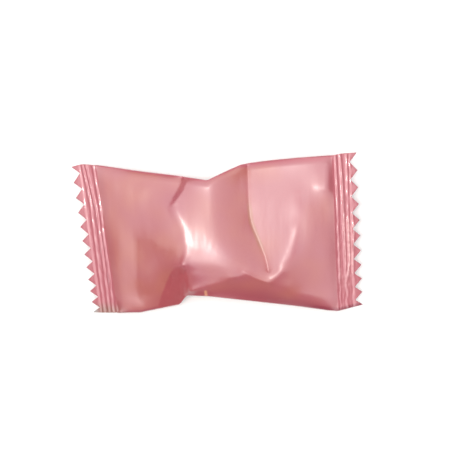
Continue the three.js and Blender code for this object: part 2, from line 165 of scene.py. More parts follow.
# The net of points over the film: rows run along the pack, columns from its back to its front.
def bodyNet(rows, columns):
    row = np.linspace(0, 1, rows + 1)[:, None]
    column = np.linspace(0, 1, columns + 1)[None, :]
    even, endPart = pack["evenShare"], pack["endShare"]
    leftPart = 1 - smoothStep(row / endPart)
    rightPart = smoothStep((row - (1 - endPart)) / endPart)
    middle = even * column + (1 - even) * (1 - np.cos(np.pi * column)) / 2
    across = (leftPart * crowded(column, leftEnd) + rightPart * crowded(column, rightEnd)
              + (1 - leftPart - rightPart) * middle)
    left, right = crimpRoot(leftEnd, across), crimpRoot(rightEnd, across)
    x = left + (right - left) * row
    return {"x": x, "y": edgeY(x, across), "across": across, "rows": rows, "columns": columns}


# Folds of the film: points (x, y) and the height z that the film has there.
folds = {
    "leftBackRidge": [(-4.8, 9.4, 8.6), (-5.8, 7.0, 9.15), (-8.05, 4.05, 9.8)],
    "leftBackFoot": [(-5.85, 9.6, 8.1), (-6.95, 7.0, 8.62), (-8.5, 4.6, 9.3)],
    "leftRise": [(-17.75, 8.5, 6.72), (-17.45, 6.0, 6.7), (-17.1, 3.9, 6.62), (-16.9, 2.2, 6.55),
                 (-16.5, 0.2, 6.58), (-16.2, -2.5, 6.25), (-16.1, -4.67, 5.75), (-16.1, -8.1, 4.85),
                 (-16.1, -11.5, 3.85)],
    "leftTurn": [(-15.3, 8.3, 7.32), (-15.3, 7.0, 7.38), (-15.25, 5.6, 7.4), (-15.25, 3.9, 7.27),
                 (-15.2, 2.2, 7.12)],
    "leftSlope": [(-12.5, 7.4, 8.08), (-12.5, 5.6, 8.16), (-12.5, 3.9, 8.1), (-12.3, 2.2, 8.06),
                  (-12.1, 0.6, 8.12)],
    "leftRoof": [(-10.2, 5.2, 8.82), (-9.6, 2.6, 9.0), (-8.6, 0.2, 9.32)],
    "leftApron": [(-12.0, -4.0, 7.0), (-12.0, -7.0, 6.3), (-11.8, -9.6, 5.45)],
    "leftShoulder": [(-8.05, 4.05, 9.8), (-6.7, 1.85, 9.9), (-5.75, -0.55, 9.94),
                     (-5.25, -2.95, 9.92), (-5.3, -4.7, 9.82)],
    "crown": [(-7.1, 3.6, 9.84), (-5.8, 2.0, 9.92), (-4.6, -0.6, 9.97), (-3.9, -2.9, 9.95)],
    "leftBrow": [(-13.4, 1.1, 7.6), (-11.0, -1.4, 8.1), (-8.4, -1.9, 9.1), (-6.3, -2.8, 9.7)],
    "leftCrease": [(-13.4, 1.1, 7.6), (-13.9, -1.25, 6.85), (-13.8, -4.67, 6.1),
                   (-13.5, -8.1, 5.25), (-13.2, -11.5, 4.05)],
    "softShoulder": [(-1.3, 8.4, 9.2), (-0.9, 5.6, 9.5), (-0.6, 2.2, 9.74), (0.2, -1.25, 9.84),
                     (1.8, -3.2, 9.77), (3.6, -5.2, 9.36)],
    "frontRidge": [(-5.95, -5.45, 9.6), (-5.0, -5.4, 9.74), (-1.2, -5.45, 9.72),
                   (1.85, -5.85, 9.68), (3.1, -6.2, 9.54), (4.4, -6.6, 9.2), (6.6, -7.7, 8.52),
                   (8.9, -8.55, 8.0)],
    "frontBrow": [(-4.75, -7.3, 9.0), (-3.8, -7.3, 9.1), (-1.2, -7.3, 9.15), (1.2, -7.3, 9.2)],
    "frontCrease": [(4.4, -6.7, 9.2), (3.0, -7.5, 9.14), (1.6, -8.0, 8.98), (-1.2, -8.95, 8.62),
                    (-3.7, -9.65, 8.27), (-4.6, -9.95, 7.95)],
    "rightValley": [(5.2, 11.4, 6.8), (5.35, 5.6, 7.25), (5.8, 1.8, 7.4), (7.0, -1.25, 7.6),
                    (8.15, -4.15, 7.68), (8.75, -6.6, 7.72)],
    "rightRidge": [(13.7, 6.5, 8.45), (13.9, 4.2, 8.68), (13.7, 2.0, 8.8), (13.4, 0.2, 8.83),
                   (12.95, -1.8, 8.74), (12.6, -3.4, 8.62), (11.8, -5.2, 8.45), (10.7, -6.8, 8.27),
                   (8.95, -8.55, 8.0)],
    "frontSlope": [(10.5, -9.0, 7.42), (11.4, -9.2, 7.25), (12.4, -9.5, 7.0)],
    "rightSwell": [(16.2, 4.5, 8.44), (16.1, 2.0, 8.6), (15.9, -0.5, 8.5), (15.4, -3.0, 8.2)],
    "rightShoulder": [(18.7, 11.8, 7.72), (18.7, 9.5, 7.97), (18.65, 7.5, 8.1), (18.5, 6.4, 8.02)],
    "rightPlateau": [(17.2, 11.8, 7.76), (17.2, 9.5, 8.02), (17.1, 7.5, 8.16)],
    "rightFall": [(18.0, 4.2, 7.72), (18.1, 1.5, 7.82), (18.2, -1.0, 7.68), (18.3, -4.0, 7.25),
                  (18.6, -8.0, 6.3)],
    "pocketArch": [(-9.3, -10.1, 5.6), (-8.6, -8.3, 6.7), (-7.6, -6.4, 8.2), (-6.27, -5.55, 9.4),
                   (-5.6, -5.75, 9.52)],
    "pocketSide": [(-5.6, -5.75, 9.52), (-5.15, -6.7, 8.85), (-5.05, -8.8, 7.9),
                   (-5.1, -10.3, 7.0)],
    "pocketLeftFloor": [(-7.6, -7.4, 7.45), (-8.2, -9.4, 6.05), (-8.5, -11.6, 4.85)],
    "pocketRightFloor": [(-5.75, -6.8, 8.5), (-6.0, -8.8, 7.3), (-6.1, -10.9, 6.0)],
}
relaxing = {
    "levels": [(38, 44, 400), (75, 110, 320), (150, 220, 200),      # rows, columns and passes
               (bodyRows, pack["columns"], 100)],
    "rate": 1.2, "smoothing": 3, "smoothingRate": 0.5,
    "topPuff": 0.006, "bottomPuff": 0.02,       # the air inside
    "foldStep": 0.08,
}
tiny, tiniest, far = 1e-6, 1e-9, 99.0       # within a cell, of an empty cell, off the mint


# A smooth curve through the points, in steps of about one length.
def curveThrough(points, step):
    points = np.array(points, float)
    ends = np.vstack([2 * points[0] - points[1], points, 2 * points[-1] - points[-2]])
    made = []
    for k in range(1, len(ends) - 2):
        a, b, c, d = ends[k - 1:k + 3]
        count = max(2, int(np.linalg.norm(c - b) / step))
        t = np.linspace(0, 1, count, endpoint=False)[:, None]
        made.append(0.5 * (2 * b + (c - a) * t + (2 * a - 5 * b + 4 * c - d) * t ** 2
                           + (3 * b - a - 3 * c + d) * t ** 3))
    return np.vstack(made + [points[-1:]])


def foldPoints():
    return [tuple(place) for line in folds.values()
            for place in curveThrough(line, relaxing["foldStep"])]


# The net's cell that holds a point, and the point's place in that cell.
def placeInNet(net, x, y):
    back, front = edgeY(x, 0.0), edgeY(x, 1.0)
    across = (y - back) / (front - back)
    left, right = crimpRoot(leftEnd, across), crimpRoot(rightEnd, across)
    row = np.clip((x - left) / (right - left) * net["rows"], 0, net["rows"] - tiny)
    i = int(row)
    shares = net["across"][i] * (1 - row + i) + net["across"][i + 1] * (row - i)
    column = float(np.interp(across, shares, np.arange(net["columns"] + 1)))
    column = min(column, net["columns"] - tiny)
    return i, int(column), row - i, column - int(column)


# What pulls the net's points to the heights of the folds.
def foldPulls(net, wantedPoints):
    found = [(*placeInNet(net, x, y), wanted) for x, y, wanted in wantedPoints]
    i, j, a, b, z = np.array(found).T
    i, j = i.astype(int), j.astype(int)
    weights = np.stack([(1 - a) * (1 - b), a * (1 - b), (1 - a) * b, a * b])
    places = (np.stack([i, i + 1, i, i + 1]), np.stack([j, j, j + 1, j + 1]))
    share = np.zeros(net["x"].shape)
    np.add.at(share, places, weights)
    return {"places": places, "weights": weights, "z": z, "norm": (weights ** 2).sum(0),
            "share": np.maximum(share, tiniest)}


# How strongly each inner point hangs on its four neighbours, nearer ones more, and the sum.
def neighbourWeights(net):
    x, y = net["x"], net["y"]
    wx = 1 / (np.diff(x, axis=0) ** 2 + np.diff(y, axis=0) ** 2)
    wy = 1 / (np.diff(x, axis=1) ** 2 + np.diff(y, axis=1) ** 2)
    west, east, north, south = wx[:-1, 1:-1], wx[1:, 1:-1], wy[1:-1, :-1], wy[1:-1, 1:]
    return west, east, north, south, west + east + north + south


def levelled(z, weights, puff=0):
    west, east, north, south, total = weights
    return (west * z[:-2, 1:-1] + east * z[2:, 1:-1]
            + north * z[1:-1, :-2] + south * z[1:-1, 2:] + puff) / total


# The mint's top or underside, at the net's inner points, and far away where there is no mint.
def mintSurface(net, side):
    dx, dy = net["x"] - mint["x"], net["y"] - mint["y"]
    cos, sin = math.cos(mint["turn"]), math.sin(mint["turn"])
    a = np.abs((dx * cos + dy * sin) / mint["halfLength"]) ** mint["squareness"]
    b = np.abs((dy * cos - dx * sin) / mint["halfWidth"]) ** mint["squareness"]
    middle, left = mint["thickness"] / 2, np.clip(1 - a - b, 0, None)
    half = np.where(left > 0, middle * left ** (1 / mint["squareness"]), np.nan)
    if side > 0:
        surface = np.nan_to_num(middle + half, nan=-far)
    else:
        surface = np.nan_to_num(np.maximum(middle - half * mint["flatUnderside"], 0), nan=far)
    return surface[1:-1, 1:-1]


# Heights of the sheet at the roots of the two crimps and along the two long edges.
def borderHeights(net, side):
    half, place = side * pack["crimpFilm"] / 2, "Top" if side > 0 else "Under"
    heights = [endHeight(leftEnd, net["across"][0]) + half,
               endHeight(rightEnd, net["across"][-1]) + half]
    for name, column in (("back", 0), ("front", -1)):
        x = net["x"][:, column]
        heights.append(softAlong(edges[name + place], x, edges["heightSoftness"])
                       + side * rim(name, x))
    return heights


# One sheet of film: relaxed like a soap film, held out by the mint and pulled to its folds.
def relaxedSheet(net, side, passes, start, wantedPoints):
    left, right, back, front = borderHeights(net, side)
    if start is None:
        z = back[:, None] + (front - back)[:, None] * net["across"]
    else:
        z = start.copy()
    inner, weights = z[1:-1, 1:-1], neighbourWeights(net)
    held, holding = mintSurface(net, side), np.maximum if side > 0 else np.minimum
    checker = np.add.outer(np.arange(inner.shape[0]), np.arange(inner.shape[1])) % 2 == 0
    pulls = foldPulls(net, wantedPoints) if wantedPoints else None
    puff = relaxing["topPuff"] if side > 0 else -relaxing["bottomPuff"]
    smoothing = relaxing["smoothing"] if net["rows"] == bodyRows else 0
    for count in range(passes + smoothing):
        rate = relaxing["rate"] if count < passes else relaxing["smoothingRate"]
        z[0], z[-1], z[:, 0], z[:, -1] = left, right, back, front
        for colour in (checker, ~checker):
            inner[colour] += rate * (levelled(z, weights, puff) - inner)[colour]
            holding(inner, held, out=inner)
        if pulls is not None and count < passes:
            here = (pulls["weights"] * z[pulls["places"]]).sum(0)
            change = np.zeros(z.shape)
            np.add.at(change, pulls["places"],
                      pulls["weights"] ** 2 * ((pulls["z"] - here) / pulls["norm"]))
            z += change / pulls["share"]
    return z


# The sheet's heights carried over to a finer net.
def finer(z, net, wanted):
    rows = np.linspace(0, net["rows"], wanted["rows"] + 1)
    columns = np.linspace(0, net["columns"], wanted["columns"] + 1)
    i = np.clip(rows.astype(int), 0, net["rows"] - 1)
    j = np.clip(columns.astype(int), 0, net["columns"] - 1)
    a, b = (rows - i)[:, None], (columns - j)[None, :]
    return ((1 - a) * (1 - b) * z[np.ix_(i, j)] + a * (1 - b) * z[np.ix_(i + 1, j)]
            + (1 - a) * b * z[np.ix_(i, j + 1)] + a * b * z[np.ix_(i + 1, j + 1)])


def relaxedThrough(levels, side, wantedPoints=None):
    z, net = None, None
    for rows, columns, passes in levels:
        wanted = bodyNet(rows, columns)
        start = finer(z, net, wanted) if z is not None else None
        z, net = relaxedSheet(wanted, side, passes, start, wantedPoints), wanted
    return net, z


# Where the film passes over a fold in a round: the radius of the round and its path.
rounds = {
    "softShoulder": (1.0, [(-1.3, 8.4), (-0.9, 5.6), (-0.6, 2.2), (0.2, -1.25), (1.8, -3.2),
                           (3.4, -5.0)]),
    "rightRidgeTop": (1.3, [(13.1, 9.5), (13.8, 4.2)]),
    "leftBrow": (0.5, folds["leftBrow"]),
    "crown": (0.5, [(-6.9, 3.6), (-5.6, 2.0), (-4.4, -0.6), (-3.7, -2.8)]),
    "frontBrow": (0.5, [(-4.0, -7.3), (-1.2, -7.3), (0.6, -7.3)]),
    "frontCrease": (0.25, [(-4.0, -9.75), (-1.2, -8.95), (1.6, -8.0), (3.0, -7.5)]),
    "leftShoulder": (0.3, folds["leftShoulder"]),
    "rightRidge": (0.55, [(13.8, 5.5), (13.4, 0.2), (12.95, -1.8), (12.6, -3.4), (11.8, -5.2)]),
    "frontSlope": (0.5, [(10.6, -9.1), (11.3, -9.2), (13.0, -9.6)]),
    "rightRidgeEnd": (0.2, [(11.8, -5.2), (9.2, -8.3)]),
    "rightFall": (0.6, [(18.0, 3.0), (18.1, 0.0), (18.3, -4.0), (18.6, -8.0)]),
    "rightSwell": (1.0, [(16.2, 5.0), (16.1, 2.0), (15.9, -0.5), (15.4, -3.5)]),
    "rightPlateau": (0.4, [(17.0, 11.0), (17.0, 9.5), (16.9, 7.5)]),
    "rightShoulder": (0.25, [(18.7, 11.0), (18.7, 8.5), (18.5, 6.3)]),
    "rightDent": (0.5, [(18.3, 6.1), (17.0, 4.8)]),
    "leftCrease": (0.4, [(-13.4, 1.1), (-13.6, -1.25), (-13.5, -4.67), (-13.4, -8.1),
                         (-13.2, -12.5)]),
    "frontRidge": (0.5, [(-4.4, -5.35), (-1.2, -5.4), (1.85, -5.85), (3.4, -6.3)]),
    "leftRise": (0.5, [(-17.8, 9.5), (-17.45, 6.0), (-17.1, 3.9), (-16.5, 0.2)]),
    "leftRiseFront": (0.7, [(-16.5, 0.2), (-16.2, -2.5), (-16.1, -8.1), (-16.1, -13)]),
    "leftTurn": (0.8, [(-15.3, 8.8), (-15.25, 3.9), (-15.2, 2.0)]),
    "leftSlope": (1.0, [(-12.5, 7.8), (-12.5, 3.9), (-12.1, 0.6)]),
    "leftRoof": (1.2, folds["leftRoof"]),
    "leftApron": (0.7, [(-12.0, -2.8), (-12.0, -7.0), (-11.8, -10.6)]),
}


def distanceTo(path, x, y):
    nearest = np.full(x.shape, np.inf)
    for (x0, y0, *_), (x1, y1, *_) in zip(path, path[1:]):
        t = ((x - x0) * (x1 - x0) + (y - y0) * (y1 - y0)) / math.dist((x0, y0), (x1, y1)) ** 2
        t = np.clip(t, 0, 1)
        nearest = np.minimum(nearest, np.hypot(x - x0 - t * (x1 - x0), y - y0 - t * (y1 - y0)))
    return nearest


def rounded(net, z):
    weights = neighbourWeights(net)
    for radius, path in rounds.values():
        soft = z.copy()
        passes = int(radius ** 2 * float(np.median(weights[-1])) / 2) + 1      # to spread that far
        for _ in range(passes):
            soft[1:-1, 1:-1] = levelled(soft, weights)
        z = z + (soft - z) * faded(distanceTo(path, net["x"], net["y"]), 2 * radius)
    return z


def rimmed(net, z, side):
    x, across = net["x"], net["across"]
    width = edgeY(x, 0.0) - edgeY(x, 1.0)
    for name, inside in (("back", across * width), ("front", (1 - across) * width)):
        z = z - side * rim(name, x) * np.clip(1 - inside / edges[name + "RimWidth"], 0, 1) ** 2
    return z


# The top film, and the underside with its lengthwise seam folded flat.
def filmSheets():
    net, top = relaxedThrough(relaxing["levels"], 1, foldPoints())
    net, bottom = relaxedThrough(relaxing["levels"], -1)
    top, bottom = rimmed(net, rounded(net, top), 1), rimmed(net, bottom, -1)
    fromSeam = np.abs(net["y"] - pack["seamY"]) - pack["seamWidth"] / 2
    bottom = bottom - pack["seamStep"] * faded(fromSeam, pack["seamSoftness"], -0.5)
    bottom = np.maximum(bottom, 0)
    top = np.maximum(top, (top + bottom) / 2 + pack["thinnest"] / 2)
    bottom = np.clip(bottom, 0, top - pack["thinnest"])
    return net, top, bottom


# The jaws' pressed lines in each crimp: distance from the cut, and height, along across.
crimp = {
    "left": [
        {"offset": [(0, 3.75), (0.3, 4.0), (0.44, 3.85), (0.75, 3.75), (1, 3.5)],
         "height": [(0, 0.26), (0.38, 0.28), (0.41, 0.06), (0.45, 0.28), (0.8, 0.32), (0.84, 0.1),
                    (1, 0.14)]},
        {"offset": [(0, 2.5), (0.15, 2.85), (0.3, 3.2), (0.6, 3.15), (0.8, 2.95), (1, 2.75)],
         "height": [(0, 0.16), (0.06, 0.28), (0.4, 0.28), (0.44, 0.1), (0.5, 0.24), (0.65, 0.24),
                    (0.75, 0.1), (1, 0.14)]},
        {"offset": [(0, 1.85), (0.1, 2.1), (0.25, 2.35), (0.5, 2.25), (1, 1.95)],
         "height": [(0, 0.24), (0.22, 0.26), (0.3, 0.1), (1, 0.12)]},
    ],
    "right": [
        {"offset": [(0, 3.7), (0.3, 3.62), (0.4, 3.75), (1, 3.85)],
         "height": [(0, 0.2), (0.05, 0.3), (0.32, 0.3), (0.37, 0.08), (0.74, 0.12), (0.78, 0.16),
                    (0.84, 0.04), (1, 0.03)]},
        {"offset": [(0, 2.9), (0.15, 2.75), (0.7, 2.72), (1, 2.7)],
         "height": [(0, 0.2), (0.1, 0.26), (0.42, 0.3), (0.7, 0.3), (0.78, 0.14), (0.84, 0.04),
                    (1, 0.03)]},
        {"offset": [(0, 1.75), (0.2, 1.85), (0.36, 1.9), (0.45, 2.0), (0.7, 2.02), (0.8, 2.45),
                    (1, 2.5)],
         "height": [(0, 0.2), (0.2, 0.24), (0.3, 0.06), (0.39, 0.08), (0.43, 0.32), (0.72, 0.3),
                    (0.8, 0.14), (0.84, 0.02), (1, 0.02)]},
        {"offset": [(0, 1.3), (0.5, 1.15), (0.7, 1.5), (1, 1.6)],
         "height": [(0, 0), (0.38, 0), (0.43, 0.22), (0.76, 0.22), (0.81, 0), (1, 0)]},
    ],
    "width": 0.16, "flatness": 4, "offsetSoftness": 0.02, "heightSoftness": 0.01,
    "ripple": 0.045, "rippleLength": 2.9, "shift": 0.37,       # of the pattern, from line to line
    "hollow": 0.1, "hollowStart": 0.3, "hollowEnd": 0.4,
    "droop": 1.6, "pastTeeth": 0.1,
}


def crimpRows(end, ridges):
    column = np.linspace(0, 1, pack["columns"] + 1)
    across = crowded(column, end)
    phase = (column * end["teeth"]) % 1
    cut = pack["toothDepth"] * (1 - np.abs(2 * phase - 1))
    first = pack["toothDepth"] + crimp["pastTeeth"]
    teeth = np.linspace(0, 1, pack["toothRows"], endpoint=False)
    band = np.arange(pack["ridgeRows"])
    offset = np.array([cut + (first - cut) * share for share in teeth]
                      + [first + (pack["crimpWidth"] - first) * k / len(band) + 0 * cut
                         for k in band])
    x = tipX(end, across) + end["inward"] * offset
    y = edgeY(x, across)
    z = endHeight(end, across) + 0 * offset
    level = offset.copy()
    for count, ridge in enumerate(ridges):
        away = offset - softAlong(ridge["offset"], across, crimp["offsetSoftness"])
        top = np.exp(-(away / crimp["width"]) ** crimp["flatness"])
        turns = y / crimp["rippleLength"] + crimp["shift"] * count
        height = softAlong(ridge["height"], across, crimp["heightSoftness"])
        z = z + (height + crimp["ripple"] * np.sin(2 * np.pi * turns)) * top
        level = level - away * top
    z = z - crimp["droop"] * (1 - level / pack["crimpWidth"])
    z = z - (crimp["hollow"] * smoothStep((offset - pack["toothDepth"]) / crimp["hollowStart"])
             * smoothStep((pack["crimpWidth"] - offset) / crimp["hollowEnd"]))
    return x, y, z + pack["crimpFilm"] / 2, z - pack["crimpFilm"] / 2


# Painted glints: white broken lines drawn into the colour of the right crimp, along its pressed
# lines.
glintLines = {
    "unevenness": 0.3, "dots": 24, "gaps": 7.3,
    "lines": [
        {"offset": [(0, 2.0), (0.7, 2.02), (0.8, 2.45), (1, 2.5)], "width": 0.2,
         "strength": [(0.4, 0), (0.44, 0.8), (0.7, 0.8), (0.78, 0.5), (0.81, 0)]},
        {"offset": [(0, 2.75), (1, 2.72)], "width": 0.16,
         "strength": [(0.1, 0), (0.14, 0.25), (0.3, 0.2), (0.37, 0), (0.39, 0.6), (0.56, 0.45),
                      (0.72, 0.35), (0.75, 0)]},
        {"offset": [(0, 1.75), (0.62, 1.75)], "width": 0.12,
         "strength": [(0.44, 0), (0.47, 0.7), (0.55, 0.6), (0.6, 0)]},
        {"offset": [(0, 1.3), (0.5, 1.15), (0.7, 1.5), (1, 1.6)], "width": 0.16,
         "strength": [(0.42, 0), (0.45, 0.6), (0.52, 0.5), (0.6, 0.2), (0.68, 0.7), (0.77, 0.6),
                      (0.8, 0)]},
        {"offset": [(0, 3.7), (1, 3.7)], "width": 0.18,
         "strength": [(0.52, 0), (0.55, 0.2), (0.7, 0.2), (0.78, 0.4), (0.81, 0)]},
        {"offset": [(0, 2.7), (1, 2.7)], "width": 1.1,
         "strength": [(0.74, 0), (0.79, 0.2), (0.86, 0.14), (0.93, 0)]},
    ],
}


# Strength of the painted glints at each point of the right crimp.
def crimpGlints(x, across):
    offset, most = tipX(rightEnd, across) - x, np.zeros(x.shape)
    for count, line in enumerate(glintLines["lines"]):
        dots = np.sin(2 * np.pi * (across * glintLines["dots"] + crimp["shift"] * count))
        gaps = np.sin(2 * np.pi * across * glintLines["gaps"])
        broken = 1 - glintLines["unevenness"] + glintLines["unevenness"] * dots * gaps
        away = (offset - along(line["offset"], across)) / line["width"]
        most = np.maximum(most, along(line["strength"], across) * broken * np.exp(-away ** 2))
    return most


# What marks the film, as paths and places (x, y).
marks = {
    # sharp creases lose their gloss
    "valley": {"path": [(5.3, 10.5), (5.35, 5.6), (5.8, 1.8), (7.0, -1.25), (8.15, -4.15),
                        (8.7, -6.4)], "width": 0.42, "strength": 1},
    "ridge": {"path": [(13.7, 6.5), (13.9, 4.2), (13.4, 0.2), (12.6, -3.4), (11.9, -5.1),
                       (9.3, -8.2)], "width": 0.7, "strength": 0.8},
    "corner": {"path": [(3.8, -6.4), (5.5, -7.1), (7.2, -7.95)], "width": 0.5, "strength": 0.8},
    "pocketRim": {"path": [(-4.9, -7.5), (-4.8, -9.5), (-4.5, -10.9)], "width": 0.6,
                  "strength": 0.8},
    # the valley's tan line, a painted tint of the pearl's yellowish sheen along the crease, from
    # one y to another, and the tan spot at the front edge, a painted glint
    "tan": {"from": 6.5, "to": -4.5, "fade": 3},
    "spot": {"path": [(-1.95, -10.0), (-1.85, -10.8)], "width": 0.22},
    # painted shade where the film turns under at the long edges: how far in from each side, along x
    "edgeShade": {"back": [(-20, 0.3), (3, 0.4), (6, 1.0), (16, 1.1), (20, 0.6)],
               "front": [(-20, 0.5), (-5, 0.5), (-4.8, 0.9), (-1, 1.2), (2.5, 2.6), (8, 2.8),
                         (12, 1.4), (20, 1.0)], "start": 0.2},
    # painted shade beside the root of each crimp
    "shadeBesideCrimp": {"width": 1.3, "start": 0.3, "strength": 0.6},
    "pressedWidth": 0.4,
    # painted shade in the hollow where the film tucks in under the mint
    "pocket": {"outline": [(-10.1, -14.0), (-10.1, -12.5), (-9.45, -10.5), (-8.6, -8.3),
                           (-7.8, -6.65), (-7.05, -5.9), (-6.2, -5.8), (-5.35, -6.4), (-4.9, -7.6),
                           (-4.75, -9.1), (-5.1, -10.8), (-5.85, -12.0), (-5.85, -14.0)],
               "softness": 0.45},
    # painted shade at the front corner beside the left crimp, a painted grey of reflected shade on
    # that crimp's last teeth, and a painted dark band of shade along the front edge beside the
    # right crimp
    "leftCornerShade": {"x": -19.6, "y": -14.3, "stretch": 1.9, "reach": 1.9},
    "greyReflection": {"x": -21.6, "y": -13.9, "stretch": 1.3, "reach": 0.9},
    "rightEdgeShade": {"from": 13.0, "fade": 5, "width": 0.45},
}


def within(outline, x, y, softness):
    closed, inside = outline + outline[:1], np.zeros(x.shape, bool)
    nearest = distanceTo(closed, x, y)
    for (x0, y0), (x1, y1) in zip(closed, closed[1:]):
        if y0 != y1:
            inside ^= ((y0 > y) != (y1 > y)) & (x < x0 + (x1 - x0) * (y - y0) / (y1 - y0))
    return faded(np.where(inside, -nearest, nearest), softness, -0.5)


# Each mark's strength at each point, from 0 to 1, which the material turns to colour and gloss.
def marksOf(points, topCount, filmCount):
    x, y = points[:, 0], points[:, 1]
    onTop = np.arange(len(x)) < topCount
    onFilm = np.arange(len(x)) < filmCount      # without the side walls
    back, front = edgeY(x, 0.0), edgeY(x, 1.0)
    across = np.clip((y - back) / (front - back), 0, 1)
    inside = np.minimum(x - crimpRoot(leftEnd, across), crimpRoot(rightEnd, across) - x)

    near = {name: faded(distanceTo(marks[name]["path"], x, y), marks[name]["width"])
            for name in ("valley", "ridge", "corner", "pocketRim", "spot")}
    creased = [marks[name]["strength"] * near[name]
               for name in ("valley", "ridge", "corner", "pocketRim")]
    tan, edgeShade, beside = marks["tan"], marks["edgeShade"], marks["shadeBesideCrimp"]
    pocket, rightEdgeShade = marks["pocket"], marks["rightEdgeShade"]
    tanPart = (smoothStep((tan["from"] - y) / tan["fade"])
               * smoothStep((y - tan["to"]) / tan["fade"]))
    # Painted shade: the film is drawn darker beside each crimp's root and along both long edges,
    # where it turns under.
    shadeBesideCrimp = beside["strength"] * faded(inside, beside["width"], beside["start"])
    fromBack = faded(back - y, along(edgeShade["back"], x), edgeShade["start"])
    fromFront = faded(y - front, along(edgeShade["front"], x), edgeShade["start"])
    found = {
        "pressed": faded(inside, marks["pressedWidth"], -0.5),
        "creased": np.max(creased, axis=0) * onTop,
        # painted sheen along the valley crease, and a painted glint at the front edge
        "valleySheen": near["valley"] * onTop * tanPart,
        "glintSpot": near["spot"] * onFilm,
        # painted glints on the right crimp's pressed lines
        "crimpGlints": crimpGlints(x, across) * onTop,
        "edgeShade": np.maximum(fromFront, shadeBesideCrimp),
        "backEdgeShade": fromBack,
        # painted shade inside the hollow under the mint's front-left corner
        "pocketShade": within(pocket["outline"], x, y, pocket["softness"]) * onTop,
        # painted shade along the front edge beside the right crimp
        "rightEdgeShade": (faded(y - front, rightEdgeShade["width"])
                     * smoothStep((x - rightEdgeShade["from"]) / rightEdgeShade["fade"]) * onTop),
    }
    # painted shade at the left front corner, and a painted grey reflection on the left crimp's last
    # teeth
    for name in ("leftCornerShade", "greyReflection"):
        part = marks[name]
        away = np.hypot((x - part["x"]) / part["stretch"], y - part["y"])
        found[name] = faded(away, part["reach"])
    return found


# The faces between the points of a grid, seen from above, or from below with their corners in
# reverse order.
def gridFaces(index, below=False):
    corners = [index[:-1, :-1], index[:-1, 1:], index[1:, 1:], index[1:, :-1]]
    if below:
        corners = [corners[0]] + corners[:0:-1]
    return np.stack(corners, -1).reshape(-1, 4).tolist()


def borderOf(grid):
    return np.concatenate([grid[0, :-1], grid[:-1, -1], grid[-1, :0:-1], grid[:0:-1, 0]])


# The whole pack as one closed mesh: the top, the side walls all round, and the underside.
def packMesh():
    net, top, bottom = filmSheets()
    print("film relaxed")
    left = crimpRows(leftEnd, crimp["left"])
    right = [grid[::-1] for grid in crimpRows(rightEnd, crimp["right"])]
    body = (net["x"], net["y"], top, bottom)
    x, y, high, low = (np.vstack(grids) for grids in zip(left, body, right))
    rows, width = x.shape
    index = np.arange(x.size).reshape(rows, width)
    faces = gridFaces(index)
    grids = [np.stack([x, y, high], -1).reshape(-1, 3)]

    upper = borderOf(index)
    ends, sides = np.zeros(width - 1), np.ones(rows - 1)
    outward = np.concatenate([ends, -sides, ends, sides])
    rimX, rimY, rimHigh, rimLow = (borderOf(grid) for grid in (x, y, high, low))
    most = np.minimum(edges["bulge"], edges["bulgeShare"] * (rimHigh - rimLow))
    for step in range(1, edges["wallSteps"]):
        t = step / edges["wallSteps"]
        swell = most * math.sin(math.pi * t)
        grids.append(np.stack([rimX, rimY + outward * swell, rimHigh + (rimLow - rimHigh) * t], -1))
        under = x.size + (step - 1) * len(upper) + np.arange(len(upper))
        faces += np.stack([upper, under, np.roll(under, -1), np.roll(upper, -1)], -1).tolist()
        upper = under

    topCount = sum(len(grid) for grid in grids)
    coarse = [grid[::2, ::2] for grid in (x, y, low)]      # half the rows and columns underneath
    grids.append(np.stack(coarse, -1).reshape(-1, 3))
    index = topCount + np.arange(coarse[0].size).reshape(coarse[0].shape)
    faces += gridFaces(index, below=True)
    under = borderOf(index)
    faces += np.stack([upper[::2], under, np.roll(under, -1), np.roll(upper, -2)[::2],
                       upper[1::2]], -1).tolist()

    points = np.concatenate(grids)
    mesh = bpy.data.meshes.new("wrapper")
    places = points * mm + np.array([middleX, middleY, cadBox[0][2]])
    mesh.from_pydata(places.tolist(), [], faces)
    mesh.polygons.foreach_set("use_smooth", np.ones(len(mesh.polygons), bool))
    mesh.update()
    for name, values in marksOf(points, topCount, x.size).items():
        mesh.attributes.new(name, "FLOAT", "POINT").data.foreach_set("value", values)
    piece = bpy.data.objects.new("wrapper", mesh)
    bpy.context.collection.objects.link(piece)
    return piece


# An sRGB hex colour as linear RGBA.
def linear(code):
    parts = [int(code[k:k + 2], 16) / 255 for k in (1, 3, 5)]
    return [p / 12.92 if p <= 0.04045 else ((p + 0.055) / 1.055) ** 2.4 for p in parts] + [1.0]


def addNode(tree, kind, settings=None, links=None):
    node = tree.nodes.new(kind)
    for name, value in (settings or {}).items():
        if isinstance(name, str) and hasattr(node, name):
            setattr(node, name, value)
        else:
            node.inputs[name].default_value = value
    for name, socket in (links or {}).items():
        tree.links.new(socket, node.inputs[name])
    return node


